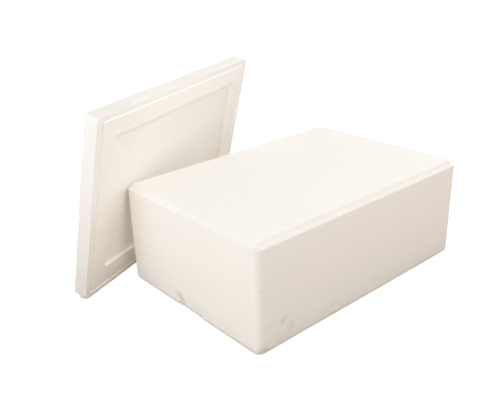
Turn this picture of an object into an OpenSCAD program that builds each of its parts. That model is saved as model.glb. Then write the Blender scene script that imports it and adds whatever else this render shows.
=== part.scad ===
// Moulded foam box with a loose lid. The box stands upside down, on its rim.
// The lid stands on one long edge and leans, underside first, on a corner of the box.
// Millimetres, +Z up. The origin is on the floor, in the middle of the ground that the
// two pieces take up together.

/* [Box] */
// Length of the box and of its lid
box_l = 580; // [460:1:700]
// Width of the box and of its lid
box_w = 400; // [300:1:520]
// Height of the side walls, from the rim to the edge of the base
side_h = 200; // [120:1:320]
// Thickness of the side walls
wall_t = 30; // [26:0.5:45]
// Thickness of the base at its raised panel
base_t = 30; // [20:0.5:40]
// Radius of the upright outer corners
corner_r = 13; // [8:0.5:24]
// Radius of the upright corners inside
cavity_r = 18; // [8:0.5:30]
// Rounding of the outer edge of the base
base_edge_r = 1.5; // [0.8:0.1:3]

/* [Base panel] */
// Height of the raised panel above the outer edge of the base
panel_rise = 10.5; // [7:0.5:14]
// Width of the ledge between the panel and the long sides
ledge_long = 10.5; // [7:0.5:16]
// Width of the ledge between the panel and the short sides
ledge_short = 7.5; // [5:0.5:16]
// Rise of the ledge from the outer edge to the foot of the panel, along the long sides
ledge_rise = 2.5; // [0.5:0.1:4]
// Radius of the panel's upright corners
panel_r = 9; // [5:0.5:14]
// Rounding of the panel's top edge
panel_edge_r = 2.5; // [1:0.1:3]

/* [Rim] */
// Distance from the long sides of the box to the middle of the tongue
seal_long = 12; // [10:0.5:20]
// Distance from the short sides of the box to the middle of the tongue
seal_short = 16; // [10:0.5:20]
// Width of the tongue
tongue_w = 4.4; // [3:0.1:6]
// Height of the tongue
tongue_h = 3.5; // [2:0.1:5]
// Radius at the outside of the tongue's corners
tongue_r = 7; // [6.5:0.5:10]

/* [Finger recess] */
// Width of the recess at the middle of each short side
recess_w = 76; // [50:1:120]
// Height of the recess above the rim
recess_h = 25; // [15:0.5:40]
// Depth of the recess into the wall
recess_d = 2.8; // [1.5:0.1:6]
// Radius of the recess's two upper corners
recess_r = 12; // [4:0.5:14]

/* [Filling mark] */
// Diameter of the round filling mark
mark_d = 28; // [15:0.5:34]
// Depth of the filling mark
mark_depth = 1.2; // [0.5:0.1:3]
// Distance from the box's short side to the middle of the mark
mark_x = 70; // [40:1:120]
// Height of the middle of the mark above the rim
mark_z = 35; // [25:1:60]

/* [Lid] */
// Thickness of the lid
lid_t = 29; // [24:0.5:45]
// Width of the flat land along the lid's long sides
land_long = 52; // [45:0.5:80]
// Width of the flat land along the lid's short sides
land_short = 57; // [45:0.5:80]
// Depth of the hollow in the lid's underside
hollow_d = 11; // [6:0.5:14]
// Radius of the hollow's corners
hollow_r = 7; // [3:0.5:20]
// Clearance of the tongue in its groove, on each side and at the bottom
seal_gap = 0.4; // [0.2:0.1:1]

/* [Lid at rest] */
// Turn of the lid away from the box's long side
lid_turn = 22.5; // [15:0.1:35]
// Lean of the lid away from upright
lid_lean = 13.2; // [8:0.1:20]
// Distance along the lid from its short side to where the box's corner meets it
touch_u = 134; // [110:1:240]
// Clearance between the box's corner and the floor of the lid's hollow
touch_gap = 0.3; // [0.1:0.1:1]

/* [Hidden] */
$fn = 64;
foam = [0.97, 0.965, 0.945];
cut = 1;                                  // how far a cutter reaches past the surface it opens

rim_z = tongue_h;                         // the rim is clear of the floor by its tongue
base_z = rim_z + side_h;                  // outer edge of the base
panel_z = base_z + panel_rise;            // top of the raised panel
cavity_l = box_l - 2 * wall_t;
cavity_w = box_w - 2 * wall_t;
cavity_h = side_h + panel_rise - base_t;
groove_w = tongue_w + 2 * seal_gap;
groove_d = tongue_h + seal_gap;
groove_r = tongue_r + seal_gap;

// The lid's directions: along it, up it, and out of its underside, level and as it leans
lid_u = [cos(lid_turn), sin(lid_turn), 0];
level_n = [sin(lid_turn), -cos(lid_turn), 0];
lid_v = sin(lid_lean) * level_n + [0, 0, cos(lid_lean)];
lid_n = cos(lid_lean) * level_n - [0, 0, sin(lid_lean)];

// Middle of the rounding of the base's outer edge: its height, and how far out it lies
base_edge_rise = atan(ledge_rise / ledge_long);
base_edge_z = base_z + base_edge_r * tan(base_edge_rise) - base_edge_r / cos(base_edge_rise);
base_edge_out = corner_r - base_edge_r;

// Where that rounding comes nearest to the lid, at the box's back corner, and from it the
// lower corner of the lid's underside, both seen from the middle of the box
touch = [corner_r - box_l / 2, box_w / 2 - corner_r, base_edge_z] - base_edge_out * level_n;
touch_depth = hollow_d - touch_gap - base_edge_r;
touch_off = (touch.z * sin(lid_lean) - touch_depth) / cos(lid_lean);
lid_foot = [touch.x, touch.y, 0] - touch_u * lid_u - touch_off * level_n;

// Middle of the lid, and how far it reaches from there along X and along Y
lid_mid = lid_foot + (box_l * lid_u + box_w * lid_v - lid_t * lid_n) / 2;
lid_reach = [for (a = [0, 1])
  (box_l / 2 - corner_r) * abs(lid_u[a]) + (box_w / 2 - corner_r) * abs(lid_v[a])
    + corner_r * norm([lid_u[a], lid_v[a]]) + lid_t / 2 * abs(lid_n[a])];

// Middle of the ground that both pieces take up
low = [min(-box_l / 2, lid_mid.x - lid_reach.x), min(-box_w / 2, lid_mid.y - lid_reach.y)];
high = [max(box_l / 2, lid_mid.x + lid_reach.x), max(box_w / 2, lid_mid.y + lid_reach.y)];
middle = [(low.x + high.x) / 2, (low.y + high.y) / 2, 0];

// Rectangle with round corners, its middle at the origin
module round_rect(l, w, r) {
  square([l - 2 * r, w], center = true);
  square([l, w - 2 * r], center = true);
  for (x = [-1, 1], y = [-1, 1])
    translate([x * (l / 2 - r), y * (w / 2 - r)])
      circle(r);
}

// Upright block with round corners
module round_block(l, w, h, r) {
  linear_extrude(h)
    round_rect(l, w, r);
}

// Carries an outline around a rectangle with round corners. In the outline, x is the
// distance out from the corners' centres and y is the height.
module sweep_around(l, w, r) {
  side_l = l / 2 - r;
  side_w = w / 2 - r;
  for (turn = [0, 180])
    rotate([0, 0, turn]) {
      translate([side_l, side_w, 0])
        rotate_extrude(angle = 90)
          children();
      translate([-side_l, side_w, 0])
        rotate([0, 0, 90])
          rotate_extrude(angle = 90)
            children();
      translate([side_l, side_w, 0])
        rotate([90, 0, 0])
          linear_extrude(2 * side_w)
            children();
      translate([-side_l, side_w, 0])
        rotate([90, 0, 90])
          linear_extrude(2 * side_l)
            children();
    }
}

// Outline of what a rounding of radius r takes off an edge at the point (x, y), between
// an upright side and a top that rises inwards by the given angle
module edge_off(x, y, r, rise_angle = 0) {
  middle_y = y + r * tan(rise_angle) - r / cos(rise_angle);
  meets_x = x - r + r * sin(rise_angle);
  difference() {
    translate([meets_x, middle_y])
      square([x + cut - meets_x, r + cut]);
    translate([x - r, middle_y])
      circle(r);
  }
}

// Outline of what is taken off above a ledge that rises inwards from the point (x, y)
module ledge_off(x, y) {
  polygon([
    [x, y],
    [x + cut, y],
    [x + cut, y + ledge_rise + cut],
    [x - ledge_long, y + ledge_rise + cut],
    [x - ledge_long, y + ledge_rise],
  ]);
}

// Sides and base of the box, with the ledge and its rounded outer edge
module box_blank() {
  difference() {
    translate([0, 0, rim_z])
      round_block(box_l, box_w, side_h + ledge_rise, corner_r);
    sweep_around(box_l, box_w, corner_r) {
      ledge_off(corner_r, base_z);
      edge_off(corner_r, base_z, base_edge_r, base_edge_rise);
    }
  }
}

// Raised panel of the base, with a rounded top edge. Its sides go down into the ledge.
module base_panel() {
  panel_l = box_l - 2 * ledge_short;
  panel_w = box_w - 2 * ledge_long;
  difference() {
    translate([0, 0, base_z - cut])
      round_block(panel_l, panel_w, panel_rise + cut, panel_r);
    sweep_around(panel_l, panel_w, panel_r)
      edge_off(panel_r, panel_z, panel_edge_r);
  }
}

// Narrow wall that follows the line where box and lid seal
module seal_ring(width, h, r) {
  line_l = box_l - 2 * seal_short;
  line_w = box_w - 2 * seal_long;
  difference() {
    round_block(line_l + width, line_w + width, h, r);
    translate([0, 0, -cut])
      round_block(line_l - width, line_w - width, h + 2 * cut, r - width);
  }
}

// Finger recess of a short side, as a cutter that goes in along +X from the outside
module finger_recess() {
  upper_z = recess_h - recess_r;
  translate([-cut, 0, 0])
    rotate([90, 0, 90])
      linear_extrude(recess_d + cut) {
        translate([-recess_w / 2, -cut])
          square([recess_w, upper_z + cut]);
        translate([-recess_w / 2 + recess_r, -cut])
          square([recess_w - 2 * recess_r, recess_h + cut]);
        for (y = [-1, 1])
          translate([y * (recess_w / 2 - recess_r), upper_z])
            circle(recess_r);
      }
}

module box_body() {
  color(foam)
    translate(-middle)
      difference() {
        union() {
          box_blank();
          base_panel();
          seal_ring(tongue_w, rim_z + cut, tongue_r);
        }
        translate([0, 0, rim_z - cut])
          round_block(cavity_l, cavity_w, cavity_h + cut, cavity_r);
        for (turn = [0, 180])
          rotate([0, 0, turn])
            translate([-box_l / 2, 0, rim_z])
              finger_recess();
        translate([mark_x - box_l / 2, mark_depth - box_w / 2, rim_z + mark_z])
          rotate([90, 0, 0])
            cylinder(d = mark_d, h = mark_depth + cut);
      }
}

// Lid with its underside up at z = 0 and one corner of its outline at the origin
module lid_flat() {
  translate([box_l / 2, box_w / 2, 0])
    difference() {
      translate([0, 0, -lid_t])
        round_block(box_l, box_w, lid_t, corner_r);
      translate([0, 0, -groove_d])
        seal_ring(groove_w, groove_d + cut, groove_r);
      translate([0, 0, -hollow_d])
        round_block(box_l - 2 * land_short, box_w - 2 * land_long, hollow_d + cut, hollow_r);
    }
}

module lid() {
  color(foam)
    translate(lid_foot - middle)
      rotate([0, 0, lid_turn])
        rotate([90 + lid_lean, 0, 0])
          lid_flat();
}

box_body();
lid();
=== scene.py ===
# %% [markdown]
# # Foam box with a loose lid
#
# This is an insulating box of moulded polystyrene foam, of the kind that chilled goods
# travel in. It stands upside down, so that its base is on top, and its lid leans on one
# corner of it. Everything is the same white foam. So nearly all of the look comes from
# three things: edges that are a little soft, faces that carry the faint pattern of the
# foam's beads, and gentle light from all round.
#
# Lengths are written in millimetres, as on a drawing, and turned to Blender's metres where
# a mesh, a lamp or the camera is made.

# %% Frame and units
import math

import bpy
from mathutils import Matrix, Vector, noise


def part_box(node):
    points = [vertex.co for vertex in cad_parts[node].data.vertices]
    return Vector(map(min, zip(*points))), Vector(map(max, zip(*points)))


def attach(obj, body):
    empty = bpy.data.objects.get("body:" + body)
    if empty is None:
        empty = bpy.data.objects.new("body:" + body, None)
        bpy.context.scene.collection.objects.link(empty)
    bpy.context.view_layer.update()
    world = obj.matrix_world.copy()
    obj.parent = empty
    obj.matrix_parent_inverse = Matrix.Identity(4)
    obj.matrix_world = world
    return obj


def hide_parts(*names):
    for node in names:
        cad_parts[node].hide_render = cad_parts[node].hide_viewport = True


MM = 0.001
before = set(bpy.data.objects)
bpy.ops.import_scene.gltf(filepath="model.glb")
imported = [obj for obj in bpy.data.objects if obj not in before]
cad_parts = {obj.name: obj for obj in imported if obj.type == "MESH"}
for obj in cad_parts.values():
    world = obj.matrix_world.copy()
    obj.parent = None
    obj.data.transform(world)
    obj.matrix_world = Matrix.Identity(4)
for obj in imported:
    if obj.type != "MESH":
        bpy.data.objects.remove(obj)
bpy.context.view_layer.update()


def node_corners(node):
    """Lowest and highest corner of a CAD node, in mm."""
    return [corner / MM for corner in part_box(node)]


box_low, box_high = node_corners("box_body")
lid_low, lid_high = node_corners("lid")
for name, low, high in (("box", box_low, box_high), ("lid", lid_low, lid_high)):
    print(name, "takes up", [round(v, 1) for v in high - low], "mm")

# %% [markdown]
# ## The camera
#
# The camera looks down on the corner where a long and a short side of the box meet. It
# stands about 1.3 m away at a height of 0.68 m, with a slight roll, as if it were held by
# hand. A lens of 45 mm keeps the upright edges nearly parallel. A longer lens further away
# would flatten the box, and a shorter one would spread its near corner.

# %% Camera
CAMERA_PLACE = Vector((-811.5, -991.9, 675.3))
CAMERA_TILT, CAMERA_ROLL, CAMERA_TURN = 66.98, 1.72, -41.374
SENSOR_WIDTH = 36.0
FOCAL_LENGTH = 45.45

camera = bpy.data.objects.new("camera", bpy.data.cameras.new("camera"))
bpy.context.scene.collection.objects.link(camera)
camera.location = CAMERA_PLACE * MM
camera.rotation_euler = [math.radians(a) for a in (CAMERA_TILT, CAMERA_ROLL, CAMERA_TURN)]
camera.data.sensor_width = SENSOR_WIDTH
camera.data.lens = FOCAL_LENGTH
bpy.context.scene.camera = camera
print("the camera stands", round(CAMERA_PLACE.length * MM, 2), "m from the middle of the floor")

# %% [markdown]
# ## A profile carried around an outline
#
# The box and the lid are made the same way. Think of the cross-section of a picture frame:
# a profile that is carried once around a rectangle with round corners. A profile point says
# how far in from the outside it lies, along the length and along the width, what radius the
# outline's corners have there, how high it is, and how much the bend at that point is
# rounded. A profile that goes up the outside gives faces that look outward.
#
# Booleans on blocks would give the same form, but this way every face is a four-sided one
# in tidy rows. Rows can be packed closely where there is a dent or a recess, and the dents
# are then pressed in by moving vertices. A curve with a bevel object would carry a profile
# too, but it would not let tongue, wall and panel each have a corner radius of its own.

# %% Rounding a profile
ARC_STEPS = 4
# This far before and after each rounding lies one more point, which keeps the smooth
# shading to the rounding
HOLD = 0.1
# A stretch shorter than this many steps stays whole, so that no sliver is left at its end
LAST_STEP = 1.5


def soften(path):
    """Turns the corners of a profile into arcs, point by point."""
    soft = [Vector(path[0][:4])]
    for before, here, after in zip(path, path[1:], path[2:]):
        point, rounding = Vector(here[:4]), here[4]
        into, out = point - Vector(before[:4]), Vector(after[:4]) - point
        into /= math.hypot(into[0], into[3])
        out /= math.hypot(out[0], out[3])
        cosine = into[0] * out[0] + into[3] * out[3]
        bend = math.acos(max(-1.0, min(1.0, cosine)))
        reach = rounding * math.tan(bend / 2)
        across = (out - into * cosine) / math.sin(bend)
        start = point - into * reach
        soft.append(start - into * HOLD)
        for step in range(ARC_STEPS + 1):
            angle = bend * step / ARC_STEPS
            turn = into * math.sin(angle) + across * (1 - math.cos(angle))
            soft.append(start + turn * rounding)
        soft.append(point + out * (reach + HOLD))
    soft.append(Vector(path[-1][:4]))
    return soft


def fill(path, step_at):
    """Adds points to the straight stretches, about step_at(point) apart."""
    filled = [path[0]]
    for start, end in zip(path, path[1:]):
        here = start.copy()
        left = (end - here).length
        while left > LAST_STEP * step_at(here):
            here = here + (end - here) * (step_at(here) / left)
            left = (end - here).length
            filled.append(here)
        filled.append(end)
    return filled


print("a rounded bend has", ARC_STEPS + 1, "points on its arc")

# %% Stations around the outline
CORNER_STEPS = 12


def stretches(*marks):
    """Places from the first mark to the last, as (mark, step after it) pairs say."""
    places = []
    for (start, step), (end, _) in zip(marks, marks[1:]):
        count = max(1, round((end - start) / step))
        places += [start + (end - start) * i / count for i in range(count)]
    return places


def around(*sides):
    """Stations of one turn: the places along each side, each followed by its corner's arc."""
    stations = []
    for side, places in enumerate(sides):
        stations += [(side, False, place) for place in places]
        turns = [math.radians(90 * step / CORNER_STEPS) for step in range(CORNER_STEPS)]
        stations += [(side, True, turn) for turn in turns]
    return stations


print("each corner of an outline has", CORNER_STEPS, "steps")


# %% Points of an outline
def station_point(station, half_l, half_w, radius, full):
    """The point of a station on an outline, and the direction out from it.

    The sides are numbered as they follow each other: 0 runs along the length at low Y, 1
    along the width at high X, and 2 and 3 face them. full says where the straight part of
    a side ends on the largest outline. On a smaller one its places move in with that end.
    """
    side, is_corner, value = station
    along, out = ((half_l, half_w), (half_w, half_l))[side % 2]
    straight = along - radius
    if is_corner:
        direction = Vector((math.sin(value), -math.cos(value)))
        point = Vector((straight, radius - out)) + direction * radius
    else:
        direction = Vector((0.0, -1.0))
        point = Vector((value * straight / full[side % 2], -out))
    turn = Matrix.Rotation(math.radians(90 * side), 2)
    return turn @ point, turn @ direction


# %% Carrying the profile around
def carry(name, half_l, half_w, corner, profile, stations, press):
    """A closed mesh, made of the outline at each profile point. All of this is in mm.

    press(point, out, inset) returns each point as the waves and dents leave it.
    """
    full = (half_l - corner, half_w - corner)
    vertices, faces = [], []
    count = len(stations)
    for inset_l, inset_w, radius, height in profile:
        for station in stations:
            flat, out = station_point(station, half_l - inset_l, half_w - inset_w, radius, full)
            point = Vector((flat.x, flat.y, height))
            vertices.append(press(point, out.to_3d(), inset_l) * MM)
    for ring in range(len(profile) - 1):
        low, high = ring * count, (ring + 1) * count
        for i in range(count):
            j = (i + 1) % count
            faces.append((low + i, low + j, high + j, high + i))
    last = (len(profile) - 1) * count
    faces.append(tuple(reversed(range(count))))
    faces.append(tuple(range(last, last + count)))
    mesh = bpy.data.meshes.new(name)
    mesh.from_pydata(vertices, [], faces)
    mesh.polygons.foreach_set("use_smooth", [True] * len(mesh.polygons))
    piece = bpy.data.objects.new(name, mesh)
    bpy.context.scene.collection.objects.link(piece)
    print(name, "has", len(vertices), "vertices")
    return piece


# %% [markdown]
# ## The shape of the box
#
# The profile starts in the middle of the ceiling inside, comes down the inner wall, goes
# over the rim with its narrow sealing tongue, up the outer wall, over the ledge and onto
# the raised panel of the base. The heights are above the floor that the box stands on.

# %% Sizes of the box
RIM_Z, SIDE_HEIGHT, CORNER_R = 3.5, 200.0, 13.0
BASE_Z = RIM_Z + SIDE_HEIGHT
PANEL_Z = box_high.z
HALF_L, HALF_W = [side / 2 for side in (box_high - box_low).xy]
WALL, CAVITY_R, CAVITY_TOP = 30.0, 18.0, 184.0
# Outer and inner side of the tongue. Along the long sides both lie nearer to the outside
TONGUE_OUT, TONGUE_OUT_R = 13.8, 7.0
TONGUE_IN, TONGUE_IN_R = 18.2, 2.6
SEAL_SHIFT = 4.0
# Width of the ledge along the long and the short sides, and its rise towards the panel
LEDGE, LEDGE_SHORT, LEDGE_RISE = 10.5, 5.0, 2.5
# The side of the panel leans this far to each side of upright, again along both
SLOPE, SLOPE_SHORT = 0.8, 2.2
PANEL_R = 9.0
# The rings stop this far from the middle line, with this radius at their corners, and one
# last face closes what is left
LAST_HALF, CENTRE_R = 6.0, 1.0
CENTRE = HALF_W - LAST_HALF
print("the wall is", SIDE_HEIGHT, "mm high, and the panel is at", round(PANEL_Z, 1), "mm")

# %% Box profile
# How much the edges are rounded, from the ceiling inside to the panel on top
CEILING_EDGE, RIM_EDGE = 5.0, 2.0
TONGUE_FOOT, TONGUE_EDGE = 0.6, 1.2
OUTER_EDGE = 1.6
LEDGE_BED, PANEL_EDGE = 3.0, 4.5

box_profile = soften([
    (CENTRE, CENTRE, CENTRE_R, CAVITY_TOP),
    (WALL, WALL, CAVITY_R, CAVITY_TOP, CEILING_EDGE),
    (WALL, WALL, CAVITY_R, RIM_Z, RIM_EDGE),
    (TONGUE_IN, TONGUE_IN - SEAL_SHIFT, TONGUE_IN_R, RIM_Z, TONGUE_FOOT),
    (TONGUE_IN, TONGUE_IN - SEAL_SHIFT, TONGUE_IN_R, 0.0, TONGUE_EDGE),
    (TONGUE_OUT, TONGUE_OUT - SEAL_SHIFT, TONGUE_OUT_R, 0.0, TONGUE_EDGE),
    (TONGUE_OUT, TONGUE_OUT - SEAL_SHIFT, TONGUE_OUT_R, RIM_Z, TONGUE_FOOT),
    (0.0, 0.0, CORNER_R, RIM_Z, OUTER_EDGE),
    (0.0, 0.0, CORNER_R, BASE_Z, OUTER_EDGE),
    (LEDGE_SHORT - SLOPE_SHORT, LEDGE - SLOPE, PANEL_R, BASE_Z + LEDGE_RISE, LEDGE_BED),
    (LEDGE_SHORT + SLOPE_SHORT, LEDGE + SLOPE, PANEL_R, PANEL_Z, PANEL_EDGE),
    (CENTRE, CENTRE, CENTRE_R, PANEL_Z),
])
print("the box's profile has", len(box_profile), "points")

# %% [markdown]
# ## Recess, mark and dents
#
# Each short side has a shallow finger recess at the rim. The long side carries the round
# mark that the mould's filling valve leaves. Foam also dents easily: a thumb has crushed
# the far end of the near recess, the valve mark is chipped in two places, and the upright
# edge that is nearest has been knocked. All of this could be sculpted by hand. But each of
# these forms is a depth that depends on where a point lies on its face, so one function can
# press all of them into the mesh, and each stays a line of numbers that is easy to change.

# %% Recess and mark
RECESS_HALF, RECESS_HEIGHT, RECESS_DEPTH, RECESS_R = 38.0, 25.0, 2.8, 12.0
MARK_X, MARK_Z, MARK_R, MARK_DEPTH = -220.0, RIM_Z + 35.0, 14.0, 0.6
# Width over which each of the two goes down to its depth, half of it outside its outline
RECESS_EDGE, MARK_EDGE = 1.6, 3.0


def ease(share):
    """0 below 0, 1 above 1, and a smooth step between."""
    share = max(0.0, min(1.0, share))
    return share * share * (3 - 2 * share)


def recess(along, height):
    """Depth of a finger recess: a slot, open at the rim, with two round upper corners."""
    over = max(abs(along) - (RECESS_HALF - RECESS_R), 0.0)
    above = max(height - (RECESS_HEIGHT - RECESS_R), 0.0)
    outside = math.hypot(over, above) - RECESS_R
    return RECESS_DEPTH * ease(0.5 - outside / RECESS_EDGE)


def filling_mark(along, height):
    """Depth of the round mark, at a place along the long side and a height."""
    off = math.hypot(along - MARK_X, height - MARK_Z)
    return MARK_DEPTH * ease(0.5 - (off - MARK_R) / MARK_EDGE)


print("the recess is", RECESS_DEPTH, "mm deep, and the mark", MARK_DEPTH, "mm")

# %% Dents
# Middle (x, y, z), radius along the face, radius in height, depth of each dent
DENTS = (
    # Crushed end of the finger recess
    (-290.0, 31.0, 17.0, 11.0, 12.5, 3.6),
    (-290.0, 36.0, 22.0, 7.0, 7.0, 2.0),
    (-290.0, 31.0, 6.0, 9.0, 8.0, 2.0),
    # Chips at the filling mark
    (-231.0, -200.0, 48.0, 7.0, 8.0, 0.9),
    (-211.0, -200.0, 27.0, 6.0, 6.0, 0.7),
    (-257.0, -200.0, 53.0, 8.0, 8.0, 0.3),
    # Knocks on the near upright edge
    (-281.0, -199.0, 125.0, 5.0, 4.0, 0.8),
    (-285.0, -196.0, 106.0, 6.0, 9.0, 1.0),
    (-286.0, -196.0, 88.0, 5.0, 5.0, 0.6),
)
# A dent ends this many radii from its middle. Its edge is ragged: grain, and how much
DENT_END = 1.15
DENT_GRAIN, DENT_RAGGED = 4.0, 0.35


def patch_share(point, patch, end):
    """1 inside a round patch and 0 outside, falling over its last radius before the end."""
    x, y, z, reach, reach_z = patch
    off = Vector(((point.x - x) / reach, (point.y - y) / reach, (point.z - z) / reach_z))
    return ease(end - off.length)


def dent(point):
    """Depth of all dents at a point of the outside."""
    end = DENT_END + noise.noise(point / DENT_GRAIN) * DENT_RAGGED
    return max(deep * patch_share(point, patch, end) for *patch, deep in DENTS)


print(len(DENTS), "dents, the deepest", max(deep for *_, deep in DENTS), "mm")

# %% Pressing the box
# Length of the waves in a face, their height on the box, and where their pattern starts
WAVE_LENGTH, BOX_WAVE = 90.0, 0.35
BOX_START = Vector((3.1, 7.7, 1.3))
# A point belongs to a side where its outward direction has this share of that side's own
FACING = 0.9
# Points further in than this belong to the base or to the inside. The limit lies a little
# before the foot of the panel's side
WALL_MARGIN = 0.5
WALL_LIMIT = LEDGE_SHORT - SLOPE_SHORT - WALL_MARGIN


def waves(point, start, height):
    """The slight waves of a face that cooled in its mould."""
    return noise.noise(point / WAVE_LENGTH + start) * height


def press_box(point, out, inset):
    """Presses recess, mark and dents into the outer walls of the box."""
    wave = waves(point, BOX_START, BOX_WAVE)
    if inset > WALL_LIMIT:
        return point + Vector((0, 0, wave)) if point.z > BASE_Z else point
    depth = 0.0
    if abs(out.x) > FACING:
        depth += recess(point.y, point.z - RIM_Z)
    if out.y < -FACING:
        depth += filling_mark(point.x, point.z)
    return point - out * (max(depth, dent(point)) + wave)


print("the faces wave by up to", BOX_WAVE, "mm on a length of", WAVE_LENGTH, "mm")

# %% [markdown]
# ## The box itself
#
# The rows are close together where a dent or the recess has to show, and far apart where a
# wall is plain. That keeps the mesh light: a grid of one millimetre everywhere would need
# more than fifteen times as many faces.

# %% Rings of the box
# Distances between rows, from the recess to the plain walls, and inside the box
FINE, CLOSE, MEDIUM, WIDE, COARSE, INSIDE = 1.2, 1.8, 2.5, 4.0, 9.0, 14.0
# Up to which height each distance holds: recess, filling mark, plain wall, knocks
RINGS = ((32.0, FINE), (60.0, CLOSE), (92.0, COARSE), (146.0, MEDIUM))


def box_step(point):
    """Distance between rings at a profile point."""
    if point[0] > LEDGE:
        return INSIDE
    return next((step for top, step in RINGS if point[3] < top), COARSE)


box_rings = fill(box_profile, box_step)
print("the box has", len(box_rings), "rings")

# %% Stations of the box
# Where along its side the filling mark, the crushed end and one end of a recess lie
MARK_FROM, MARK_TO = -245.0, -198.0
CRUSH_FROM, CRUSH_TO = -50.0, -16.0
SLOT_FROM, SLOT_TO = 34.0, 42.0
# Where the rows beside the near upright edge end on the long side and begin on the short
# one, their distance, and the distance of the rows between them and the filling mark
KNOCKED_TO, KNOCKED_FROM, KNOCKED_STEP, MARK_STEP = -265.0, 170.0, 3.0, 2.0
# The last mark of a side has no step after it
END = 0

end_l, end_w = HALF_L - CORNER_R, HALF_W - CORNER_R
near_long = stretches(
    (-end_l, KNOCKED_STEP), (KNOCKED_TO, MARK_STEP),
    (MARK_FROM, FINE), (MARK_TO, COARSE), (end_l, END),
)
far_long = stretches((-end_l, COARSE), (end_l, END))
far_short = stretches(
    (-end_w, COARSE), (-SLOT_TO, FINE), (-SLOT_FROM, COARSE),
    (SLOT_FROM, FINE), (SLOT_TO, COARSE), (end_w, END),
)
# This side runs from high Y to low Y, so its places are the negative of Y
near_short = stretches(
    (-end_w, COARSE), (CRUSH_FROM, FINE), (CRUSH_TO, WIDE), (SLOT_FROM, FINE),
    (SLOT_TO, COARSE), (KNOCKED_FROM, KNOCKED_STEP), (end_w, END),
)
print("stations along the sides:", [len(s) for s in (near_long, far_short, far_long, near_short)])

# %% Box
# The box is made around the middle line, and then moved to its place on the floor
box_shell = carry(
    "box_shell", HALF_L, HALF_W, CORNER_R, box_rings,
    around(near_long, far_short, far_long, near_short), press_box,
)
box_middle = (box_low + box_high) / 2
box_middle.z = 0.0
box_shell.data.transform(Matrix.Translation(box_middle * MM))

# %% [markdown]
# ## The lid
#
# The lid is a plain slab on the outside. Its underside has a shallow groove for the rim's
# tongue, and a hollow in the middle that saves foam. The hollow's walls are low, and from
# their foot its floor sinks a little further towards the middle. The profile starts in the
# middle of the back, goes around the outer edge and ends in the middle of the hollow.
#
# The lid is made lying down, with its underside up and at height 0, and then put into its
# place in one move: turned a little away from the box, and leaning back past upright.

# %% Sizes of the lid
LID_THICK = 29.0
# How far in the hollow begins, along the long and the short sides
LAND_LONG, LAND_SHORT = 52.0, 57.0
GROOVE_OUT, GROOVE_OUT_R = 13.2, 7.4
GROOVE_IN, GROOVE_IN_R = 18.8, 2.2
GROOVE_DEPTH = 2.3
# Height of the hollow's walls, its full depth, and the distance on which its floor sinks
HOLLOW_WALL, HOLLOW_DEPTH, HOLLOW_DISH = 7.0, 11.0, 60.0
HOLLOW_R = 7.0
print("the lid is", LID_THICK, "mm thick, and", LID_THICK - HOLLOW_DEPTH, "mm in the middle")

# %% Lid profile
# How much the edges are rounded, from the back to the middle of the hollow
GROOVE_EDGE, GROOVE_BED = 1.0, 0.9
HOLLOW_EDGE, HOLLOW_FOOT, HOLLOW_BED = 1.0, 3.5, 200.0

lid_profile = soften([
    (CENTRE, CENTRE, CENTRE_R, -LID_THICK),
    (0.0, 0.0, CORNER_R, -LID_THICK, OUTER_EDGE),
    (0.0, 0.0, CORNER_R, 0.0, OUTER_EDGE),
    (GROOVE_OUT, GROOVE_OUT - SEAL_SHIFT, GROOVE_OUT_R, 0.0, GROOVE_EDGE),
    (GROOVE_OUT, GROOVE_OUT - SEAL_SHIFT, GROOVE_OUT_R, -GROOVE_DEPTH, GROOVE_BED),
    (GROOVE_IN, GROOVE_IN - SEAL_SHIFT, GROOVE_IN_R, -GROOVE_DEPTH, GROOVE_BED),
    (GROOVE_IN, GROOVE_IN - SEAL_SHIFT, GROOVE_IN_R, 0.0, GROOVE_EDGE),
    (LAND_SHORT, LAND_LONG, HOLLOW_R, 0.0, HOLLOW_EDGE),
    (LAND_SHORT, LAND_LONG, HOLLOW_R, -HOLLOW_WALL, HOLLOW_FOOT),
    (LAND_SHORT + HOLLOW_DISH, LAND_LONG + HOLLOW_DISH, HOLLOW_R, -HOLLOW_DEPTH, HOLLOW_BED),
    (CENTRE, CENTRE, CENTRE_R, -HOLLOW_DEPTH),
])
print("the lid's profile has", len(lid_profile), "points")

# %% Lid
LID_STEP = 12.0
LID_WAVE, LID_START = 0.3, Vector((9.4, 2.2, 5.8))
# Points further in than this belong to the back or to the underside
EDGE_LIMIT = 2.0


def press_lid(point, out, inset):
    """The lid has no dents, only the slight waves."""
    wave = waves(point, LID_START, LID_WAVE)
    return point + Vector((0, 0, wave)) if inset > EDGE_LIMIT else point - out * wave


lid_long, lid_short = (stretches((-end, COARSE), (end, END)) for end in (end_l, end_w))
lid_plate = carry(
    "lid_plate", HALF_L, HALF_W, CORNER_R, fill(lid_profile, lambda point: LID_STEP),
    around(lid_long, lid_short, lid_long, lid_short), press_lid,
)

# %% Lid in its place
LID_TURN, LID_LEAN = 22.5, 13.2

lid_middle = (lid_low + lid_high) / 2
lid_pose = (
    Matrix.Translation(lid_middle * MM)
    @ Matrix.Rotation(math.radians(LID_TURN), 4, "Z")
    @ Matrix.Rotation(math.radians(90 + LID_LEAN), 4, "X")
    @ Matrix.Translation((0, 0, LID_THICK / 2 * MM))
)
lid_plate.data.transform(lid_pose)
print("the lid leans", LID_LEAN, "degrees back and is turned by", LID_TURN)
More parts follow.
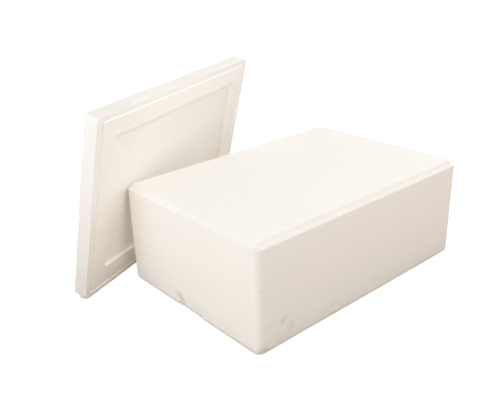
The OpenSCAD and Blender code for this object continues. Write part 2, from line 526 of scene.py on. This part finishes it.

# %% [markdown]
# ## Where the foam is darker
#
# White foam takes up the grease and dust of every hand and every floor, most of all where
# its skin is crushed. The same dark tone also paints shade: along the foot of the box, in
# the recess, at the filling mark's chips and the knocks, and on the lid's short ends. Both
# are kept apart from the dents, because they reach further than the dents do and also lie
# on places that are not dented. Each patch is soft and round, and a few of them side by
# side make an uneven one. It could be painted on an image too, but a share that is kept
# with each vertex needs no unwrapping.

# %% Dark patches on the box: dirt and painted shade
# Middle (x, y, z), radius along the face, radius in height, share of the dark tone in the foam
DARK_PATCHES = (
    # Filling mark: painted shade in the chip at its upper edge, in the one below on the other side,
    # in a third small chip, over the mark and below it
    (-235.0, -200.0, 44.5, 5.0, 5.0, 0.08),
    (-231.0, -200.0, 48.5, 5.5, 5.5, 0.13),
    (-226.0, -200.0, 52.0, 5.0, 4.5, 0.09),
    (-219.5, -200.0, 53.5, 6.0, 2.5, 0.05),
    (-208.5, -200.0, 32.5, 5.0, 5.0, 0.04),
    (-211.4, -200.0, 27.5, 5.5, 6.0, 0.06),
    (-211.4, -200.0, 24.0, 3.5, 3.5, 0.08),
    (-222.0, -200.0, 38.0, 15.0, 16.0, 0.02),
    (-257.0, -200.0, 53.6, 9.0, 9.0, 0.035),
    (-227.0, -200.0, 14.0, 20.0, 12.0, 0.03),
    # Painted shade at the foot of the near corner
    (-280.0, -200.0, 7.0, 11.0, 6.0, 0.22),
    # Crushed end of the finger recess, darkened partly by dirt and partly by painted shade, and
    # painted shade in the recess itself
    (-290.0, 37.0, 23.5, 9.0, 7.0, 0.13),
    (-290.0, 32.0, 18.0, 9.0, 7.0, 0.13),
    (-290.0, 27.0, 12.0, 9.0, 7.0, 0.13),
    (-290.0, 25.0, 6.0, 9.0, 6.0, 0.10),
    (-290.0, -20.0, 18.0, 18.0, 10.0, 0.035),
    # A small dark spot higher up on the same side
    (-290.0, 93.0, 53.5, 7.0, 7.0, 0.03),
    # Painted shade at the knocks on the near upright edge
    (-279.0, -200.0, 126.0, 4.5, 4.5, 0.05),
    (-277.0, -200.0, 108.0, 3.5, 5.0, 0.05),
    (-280.0, -199.5, 100.0, 4.0, 4.0, 0.05),
    (-283.0, -198.0, 86.0, 4.0, 5.0, 0.04),
)
print(len(DARK_PATCHES), "stains, the darkest", max(darkening for *_, darkening in DARK_PATCHES))

# %% Dirt and painted shade on the box
# A patch ends this many radii from its middle. Its edge is ragged: grain, and how much
PATCH_END = 1.5
PATCH_GRAIN, PATCH_RAGGED = 5.0, 0.3
# A thin line of painted shade along the lower edge, and a fainter painted shade above it that fades
# upwards: height, share
FOOT_LINE, FOOT_LINE_SHADE = 4.5, 0.15
FOOT_HAZE, FOOT_HAZE_SHADE = 45.0, 0.035
# On the short sides the painted shade at the foot is weaker, by this factor
SHORT_SIDE_SHARE = 0.5


def dirt_and_shade(point):
    """Share of dirt and of painted shade in the foam at a point of the box."""
    ragged = noise.noise(point / PATCH_GRAIN) * PATCH_RAGGED
    above = point.z - RIM_Z
    # Painted shade along the foot: a thin dark line, and a faint haze above it
    share = FOOT_LINE_SHADE * ease(1 - above / FOOT_LINE + ragged)
    share += FOOT_HAZE_SHADE * ease(1 - above / FOOT_HAZE)
    if abs(point.x) > HALF_L - CORNER_R:
        share *= SHORT_SIDE_SHARE
    # The dark patches, partly dirt and partly painted shade
    for *patch, darkening in DARK_PATCHES:
        share += darkening * patch_share(point, patch, PATCH_END + ragged)
    return share


print("dirt at the foot reaches", FOOT_HAZE, "mm up")

# %% Painted shade and darker edges on the lid
# Width of the darker edges, and the painted shade at the upper and at the lower end of the short ones
EDGE_WIDTH, END_SHADE_HIGH, END_SHADE_LOW = 2.5, 0.07, 0.22
# The upper edge stays white up to this place, and then gets darker, to this share at its end
UPPER_FROM, UPPER_DARKENING = -140.0, 0.16


def lid_darkening(point):
    """The lid's short ends get painted shade, darker towards their lower corners, and its upper edge
    gets darker towards one end.
    """
    low = (HALF_W - point.y) / (2 * HALF_W)
    end = ease((abs(point.x) - (HALF_L - EDGE_WIDTH)) / EDGE_WIDTH)
    upper = ease((point.y - (HALF_W - EDGE_WIDTH)) / EDGE_WIDTH)
    along = max(0.0, (point.x - UPPER_FROM) / (HALF_L - UPPER_FROM))
    # Painted shade on the short ends, growing towards the lower corners
    short = end * (END_SHADE_HIGH + (END_SHADE_LOW - END_SHADE_HIGH) * low * low)
    return max(short, upper * along * UPPER_DARKENING)


print("share of dirt at the lid's lower corners:", END_SHADE_LOW)


# %% Storing the dirt and painted shade
def keep_darkening(piece, share_at, to_own):
    """Stores the share of dirt and painted shade with each vertex, where the foam's material reads
    it.
    """
    layer = piece.data.attributes.new("dirt_and_shade", "FLOAT", "POINT")
    for vertex, entry in zip(piece.data.vertices, layer.data):
        entry.value = share_at(to_own @ vertex.co / MM)
    print(piece.name, "most dirt:", round(max(entry.value for entry in layer.data), 2))


keep_darkening(box_shell, dirt_and_shade, Matrix.Translation(-box_middle * MM))
keep_darkening(lid_plate, lid_darkening, lid_pose.inverted())

# %% [markdown]
# ## The foam
#
# Polystyrene foam is made of beads, about 4 to 5 mm across once they have swollen against
# each other in the mould. Each bead has its own slightly different white, and a fine seam
# runs between them. The skin of the beads is smooth plastic, but domed and uneven, so its
# shine is weak and broad. Light goes a few millimetres into the foam before it comes out
# again. That is why edges and grooves look softer than their shape.
#
# A Voronoi pattern is the natural choice for beads, because it too is made of bodies that
# grew until they met. The beads stand out by a tenth of a millimetre, which is too little
# for a mesh of this size, so a bump does that part.

# %% Nodes and colours
def add(tree, kind, settings=None, links=None):
    """One node with its settings, and its inputs linked from other nodes' outputs."""
    node = tree.nodes.new(kind)
    for key, value in (settings or {}).items():
        if isinstance(key, str) and hasattr(node, key):
            setattr(node, key, value)
        else:
            node.inputs[key].default_value = value
    for key, source in (links or {}).items():
        tree.links.new(source, node.inputs[key])
    return node


def linear(code):
    """An sRGB hex colour as linear RGBA, by the formula of the sRGB standard."""
    parts = [int(code[i:i + 2], 16) / 255 for i in (1, 3, 5)]
    return [p / 12.92 if p <= 0.04045 else ((p + 0.055) / 1.055) ** 2.4 for p in parts] + [1.0]


print("middle grey, #808080, is", round(linear("#808080")[0], 3), "in linear light")

# %% Bead pattern
# Width of a bead in mm, and of a seam as a share of a bead
BEAD, SEAM = 4.5, 0.12

foam = bpy.data.materials.new("moulded_polystyrene_foam")
foam.use_nodes = True
tree = foam.node_tree
shader = tree.nodes["Principled BSDF"]
place = add(tree, "ShaderNodeTexCoord").outputs["Object"]
per_bead = {"Scale": 1 / (BEAD * MM)}
beads = add(tree, "ShaderNodeTexVoronoi", per_bead, {"Vector": place})
seams = add(
    tree, "ShaderNodeTexVoronoi", {"feature": "DISTANCE_TO_EDGE", **per_bead}, {"Vector": place}
)
seam = add(
    tree, "ShaderNodeMapRange", {"From Max": SEAM, "To Min": 1.0, "To Max": 0.0},
    {"Value": seams.outputs["Distance"]},
)
bead_tone = add(tree, "ShaderNodeSeparateColor", None, {"Color": beads.outputs["Color"]})
print("beads of", BEAD, "mm, with seams of", round(SEAM * BEAD, 2), "mm")

# %% Colour of the foam
# The foam itself, the shade in the seams and of the greyest beads, and a dark tone for worked-in dirt
# and for painted shade
WHITE, SHADE, DIRT_AND_SHADE = "#F8F4EC", "#E4DCCB", "#5C4A30"
# Shares of the shade: between the palest and the greyest bead, and in a seam
BEAD_SHARE, SEAM_SHARE = 0.07, 0.10

bead_share = add(
    tree, "ShaderNodeMath", {"operation": "MULTIPLY", 1: BEAD_SHARE},
    {0: bead_tone.outputs["Red"]},
)
shade_share = add(
    tree, "ShaderNodeMath", {"operation": "MULTIPLY_ADD", 1: SEAM_SHARE},
    {0: seam.outputs["Result"], 2: bead_share.outputs["Value"]},
)
clean = add(
    tree, "ShaderNodeMix", {"data_type": "RGBA", 6: linear(WHITE), 7: linear(SHADE)},
    {0: shade_share.outputs["Value"]},
)
# The share of the dark tone, which is dirt and painted shade
darkening_share = add(tree, "ShaderNodeAttribute", {"attribute_name": "dirt_and_shade"})
darkened = add(
    tree, "ShaderNodeMix", {"data_type": "RGBA", 7: linear(DIRT_AND_SHADE)},
    {0: darkening_share.outputs["Fac"], 6: clean.outputs[2]},
)
tree.links.new(darkened.outputs[2], shader.inputs["Base Color"])
print("the foam is", WHITE, "where it is clean")

# %% Surface of the foam
# Height of a bead above its seams, how much of it the bump shows, and, as a share of a
# bead, the width of its round edge
BEAD_HEIGHT, BEAD_BUMP, BEAD_EDGE = 0.12, 0.2, 0.35
# Roughness of the smoothest and of the roughest bead
SMOOTH_BEAD, ROUGH_BEAD = 0.6, 0.78

domes = add(
    tree, "ShaderNodeMapRange", {"interpolation_type": "SMOOTHSTEP", "From Max": BEAD_EDGE},
    {"Value": seams.outputs["Distance"]},
)
relief = add(
    tree, "ShaderNodeBump", {"Strength": BEAD_BUMP, "Distance": BEAD_HEIGHT * MM},
    {"Height": domes.outputs["Result"]},
)
tree.links.new(relief.outputs["Normal"], shader.inputs["Normal"])
gloss = add(
    tree, "ShaderNodeMapRange", {"To Min": SMOOTH_BEAD, "To Max": ROUGH_BEAD},
    {"Value": bead_tone.outputs["Green"]},
)
tree.links.new(gloss.outputs["Result"], shader.inputs["Roughness"])
print("roughness from", SMOOTH_BEAD, "to", ROUGH_BEAD, "bead by bead")

# %% Shine and depth of the foam
# Solid polystyrene has this IOR. Only the tops of the beads shine, so the face as a whole
# reflects less than flat plastic, whose specular level would be 0.5
POLYSTYRENE_IOR, SPECULAR = 1.59, 0.38
# How far light travels in the foam. Red goes furthest, so thin edges are a little warmer
LIGHT_REACH = 3.0
REACH_BY_COLOUR = (1.0, 0.9, 0.8)

shader.inputs["IOR"].default_value = POLYSTYRENE_IOR
shader.inputs["Specular IOR Level"].default_value = SPECULAR
shader.subsurface_method = "BURLEY"
shader.inputs["Subsurface Weight"].default_value = 1.0
shader.inputs["Subsurface Radius"].default_value = REACH_BY_COLOUR
shader.inputs["Subsurface Scale"].default_value = LIGHT_REACH * MM
for piece in (box_shell, lid_plate):
    piece.data.materials.append(foam)
    print(piece.name, "is made of", foam.name)

# %% [markdown]
# ## Floor and surroundings
#
# The object stands in white surroundings without a horizon. The camera and every shiny
# reflection see plain white, with only a slight shade where the box meets the floor. The
# light that the floor sends back up is a different matter: it is weaker and warm, as from a
# wooden or earthen floor, and it gives the shaded faces their cream colour. So one material
# answers camera rays and diffuse rays differently, and mixes the two by Light Path.

# %% Floor
FLOOR_REACH = 40000.0

corners = [
    (x * FLOOR_REACH * MM, y * FLOOR_REACH * MM, 0.0) for x, y in ((-1, -1), (1, -1), (1, 1), (-1, 1))
]
floor_mesh = bpy.data.meshes.new("floor")
floor_mesh.from_pydata(corners, [], [(0, 1, 2, 3)])
floor = bpy.data.objects.new("floor", floor_mesh)
bpy.context.scene.collection.objects.link(floor)
print("the floor reaches", FLOOR_REACH * MM, "m to each side")


# %% Rays that see white
def seen_white(tree):
    """1 for camera rays, reflections and refractions, else 0."""
    path = add(tree, "ShaderNodeLightPath").outputs
    largest = path["Is Camera Ray"]
    for ray in ("Is Glossy Ray", "Is Transmission Ray"):
        step = add(tree, "ShaderNodeMath", {"operation": "MAXIMUM"}, {0: largest, 1: path[ray]})
        largest = step.outputs["Value"]
    return largest


# %% What the object gets from the floor
# The tone of the floor, the light it sends up in the open, and how far shelter weakens that
FLOOR_TONE, FLOOR_LIGHT = "#7C7369", "#AC9B87"
SHELTER_REACH, SHELTER_SAMPLES = 150.0, 6

# To the eye the ground is matt white paper. It has no shine, so it mirrors nothing
paper = bpy.data.materials.new("matt_white_paper")
paper.use_nodes = True
tree = paper.node_tree
tree.nodes.clear()
bounce = add(tree, "ShaderNodeBsdfDiffuse", {"Color": linear(FLOOR_TONE)})
open_air = add(
    tree, "ShaderNodeAmbientOcclusion",
    {"Distance": SHELTER_REACH * MM, "samples": SHELTER_SAMPLES},
)
warmth = add(
    tree, "ShaderNodeEmission", {"Color": linear(FLOOR_LIGHT)}, {"Strength": open_air.outputs["AO"]}
)
below = add(tree, "ShaderNodeAddShader", None, {0: bounce.outputs[0], 1: warmth.outputs[0]})
print("the object gets warm light from below, of", FLOOR_LIGHT)

# %% What the camera gets from the floor
# The floor's glow right under an edge, darker there as a painted contact shadow, and in the open, and
# how far the edge is felt
UNDER_EDGE, IN_THE_OPEN = "#BFAD97", "#FFFFFF"
SHADE_REACH, SHADE_SAMPLES = 12.0, 8
# Share of free air at which the first glow ends, and the share from which the second holds
EDGE_AIR, OPEN_AIR = 0.3, 0.55
# A dull surface besides the glow takes the shadows of the lamps
DULL_GREY = "#595959"

near = add(
    tree, "ShaderNodeAmbientOcclusion", {"Distance": SHADE_REACH * MM, "samples": SHADE_SAMPLES}
)
openness = add(
    tree, "ShaderNodeMapRange", {"From Min": EDGE_AIR, "From Max": OPEN_AIR},
    {"Value": near.outputs["AO"]},
)
glow = add(
    tree, "ShaderNodeMix",
    {"data_type": "RGBA", 6: linear(UNDER_EDGE), 7: linear(IN_THE_OPEN)},
    {0: openness.outputs["Result"]},
)
dull = add(tree, "ShaderNodeBsdfDiffuse", {"Color": linear(DULL_GREY)})
lit = add(tree, "ShaderNodeEmission", None, {"Color": glow.outputs[2]})
above = add(tree, "ShaderNodeAddShader", None, {0: dull.outputs[0], 1: lit.outputs[0]})
ground = add(
    tree, "ShaderNodeMixShader", None,
    {0: seen_white(tree), 1: below.outputs[0], 2: above.outputs[0]},
)
add(tree, "ShaderNodeOutputMaterial", None, {"Surface": ground.outputs[0]})
floor_mesh.materials.append(paper)
print("the camera sees", UNDER_EDGE, "under an edge and", IN_THE_OPEN, "in the open")

# %% World
world = bpy.data.worlds.new("studio")
bpy.context.scene.world = world
world.use_nodes = True
tree = world.node_tree
tree.nodes.clear()
sky = add(
    tree, "ShaderNodeBackground", {"Color": linear(IN_THE_OPEN)}, {"Strength": seen_white(tree)}
)
add(tree, "ShaderNodeOutputWorld", None, {"Surface": sky.outputs[0]})
bpy.context.scene.view_settings.view_transform = "Standard"
print("the world is seen and mirrored as white, and gives no diffuse light")

# %% [markdown]
# ## The light
#
# The light is that of a bright room: soft and from all round, and strongest from behind on
# the right. A dome of even light would leave every face alike. So ten wide lamps share the
# work. Distant ones reach everything evenly, and square ones near by fall off with
# distance, which shades the long faces from one end to the other. A share of 1 alone would
# light a white face that points at it to full white.

# %% Lamps
# The distant lamps are as wide as this angle
LAMP_SPREAD = 50.0
# The square ones: side, distance from the place they point at, and room left above the floor
SOFTBOX_SIZE, SOFTBOX_AWAY, SOFTBOX_CLEAR = 900.0, 1300.0, 20.0
LAMP_AIM = Vector((30.0, -50.0, 150.0))
# A white face gets full white from a distant lamp of the first strength, and from a square
# lamp of the second power that is one metre away
SUN_FULL, SOFTBOX_FULL = math.pi, math.pi ** 2
# Kind, azimuth from +X, height above the horizon, share, tint
LAMPS = (
    ("SUN", 0, 15, 0.527, "#FFF2EE"),
    ("SUN", 135, 15, 0.231, "#FFF0E2"),
    ("SUN", 225, 15, 0.257, "#FFF3E9"),
    ("SUN", 292, 15, 0.173, "#C7E4FF"),
    ("AREA", 0, 12, 0.158, "#9ECDFF"),
    ("AREA", 45, 45, 0.391, "#FEFFFA"),
    ("AREA", 180, 12, 0.302, "#ECF3FF"),
    ("AREA", 200, 28, 0.209, "#CBE8FF"),
    ("AREA", 270, 45, 0.303, "#FFF9F7"),
    ("AREA", 315, 45, 0.119, "#FFFAF8"),
)
print(len(LAMPS), "lamps, the strongest with a share of", max(lamp[3] for lamp in LAMPS))

# %% Placing the lamps
for kind, azimuth, height, share, tint in LAMPS:
    lamp = bpy.data.lights.new(f"{kind.lower()}_{azimuth}_{height}", kind)
    lamp.color = linear(tint)[:3]
    holder = bpy.data.objects.new(lamp.name, lamp)
    bpy.context.scene.collection.objects.link(holder)
    turn, rise = math.radians(azimuth), math.radians(height)
    level = math.cos(rise)
    towards = Vector((math.cos(turn) * level, math.sin(turn) * level, math.sin(rise)))
    if kind == "SUN":
        lamp.angle = math.radians(LAMP_SPREAD)
        lamp.energy = share * SUN_FULL
        facing = towards
    else:
        lamp.size = SOFTBOX_SIZE * MM
        lamp.energy = share * SOFTBOX_FULL * (SOFTBOX_AWAY * MM) ** 2
        stand = LAMP_AIM + towards * SOFTBOX_AWAY
        stand.z = max(stand.z, SOFTBOX_SIZE / 2 * level + SOFTBOX_CLEAR)
        holder.location = stand * MM
        facing = stand - LAMP_AIM
    holder.rotation_euler = facing.to_track_quat("Z", "Y").to_euler()
    print(holder.name, "gives", share)

# %% [markdown]
# ## Handing over
#
# The two pieces take the places of the two solids that they show. Nothing moves, so both
# ride on the root.

# %% Hand over
for piece, node, slot in ((box_shell, "box_body", "box_foam"), (lid_plate, "lid", "lid_foam")):
    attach(piece, "root")
    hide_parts(node)
